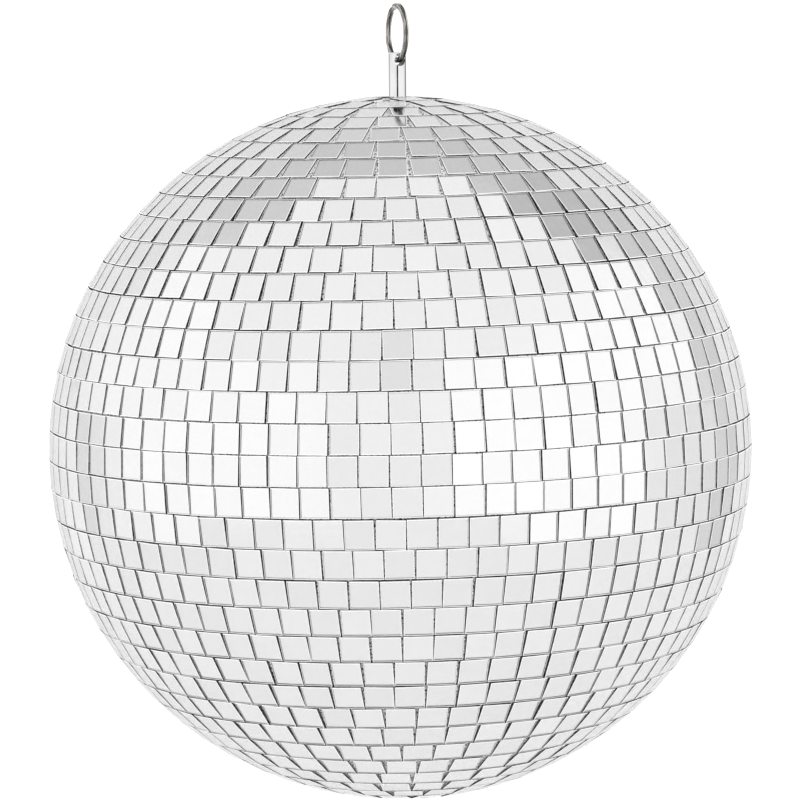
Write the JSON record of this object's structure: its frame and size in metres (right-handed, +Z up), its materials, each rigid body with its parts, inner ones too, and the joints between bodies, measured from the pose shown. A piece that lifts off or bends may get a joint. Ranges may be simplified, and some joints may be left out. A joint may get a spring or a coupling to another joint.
{
  "type": "mirror ball",
  "caption": "Round mirror ball covered in rows of small square mirror tiles, hung by a split ring through a chrome stem.",
  "frame": {"origin": "where a hook bears on the split ring: the top inside of the ring, on the ball's vertical axis", "axes": "+Z up, away from the ball along its hanging axis; +Y along the stem's cross-hole, so the split ring lies in the YZ plane; +X across the ring"},
  "size_m": [0.2516, 0.2502, 0.283],
  "materials": {
    "mirror_tile": "silvered glass with ground edges",
    "chrome": "polished chrome plate",
    "ring_steel": "nickel-plated spring wire, slightly worn",
    "zinc_steel": "zinc-plated steel",
    "core_plastic": "moulded plastic, as moulded"
  },
  "bodies": {
    "ring": {"split_ring": "ring_steel"},
    "ball": {"hanger_stem": "chrome", "load_washer": "zinc_steel", "spring_washer": "zinc_steel", "hex_nut": "zinc_steel", "core_shell_upper": "core_plastic", "core_shell_lower": "core_plastic", "tile_row_upper_01": "mirror_tile", "tile_row_upper_02": "mirror_tile", "tile_row_upper_03": "mirror_tile", "tile_row_upper_04": "mirror_tile", "tile_row_upper_05": "mirror_tile", "tile_row_upper_06": "mirror_tile", "tile_row_upper_07": "mirror_tile", "tile_row_upper_08": "mirror_tile", "tile_row_upper_09": "mirror_tile", "tile_row_upper_10": "mirror_tile", "tile_row_upper_11": "mirror_tile", "tile_row_upper_12": "mirror_tile", "tile_row_upper_13": "mirror_tile", "tile_row_upper_14": "mirror_tile", "tile_row_upper_15": "mirror_tile", "tile_row_upper_16": "mirror_tile", "tile_row_upper_17": "mirror_tile", "tile_row_upper_18": "mirror_tile", "tile_row_lower_01": "mirror_tile", "tile_row_lower_02": "mirror_tile", "tile_row_lower_03": "mirror_tile", "tile_row_lower_04": "mirror_tile", "tile_row_lower_05": "mirror_tile", "tile_row_lower_06": "mirror_tile", "tile_row_lower_07": "mirror_tile", "tile_row_lower_08": "mirror_tile", "tile_row_lower_09": "mirror_tile", "tile_row_lower_10": "mirror_tile", "tile_row_lower_11": "mirror_tile", "tile_row_lower_12": "mirror_tile", "tile_row_lower_13": "mirror_tile", "tile_row_lower_14": "mirror_tile", "tile_row_lower_15": "mirror_tile", "tile_row_lower_16": "mirror_tile", "tile_row_lower_17": "mirror_tile", "tile_row_lower_18": "mirror_tile", "tile_bottom_pole": "mirror_tile"}
  },
  "joints": [
    {"name": "ball_swing", "type": "hinge", "parent": "ring", "child": "ball", "pos_m": [0, 0, -0.01845], "axis": [0, 1, 0], "range_deg": [-126, 126]}
  ]
}
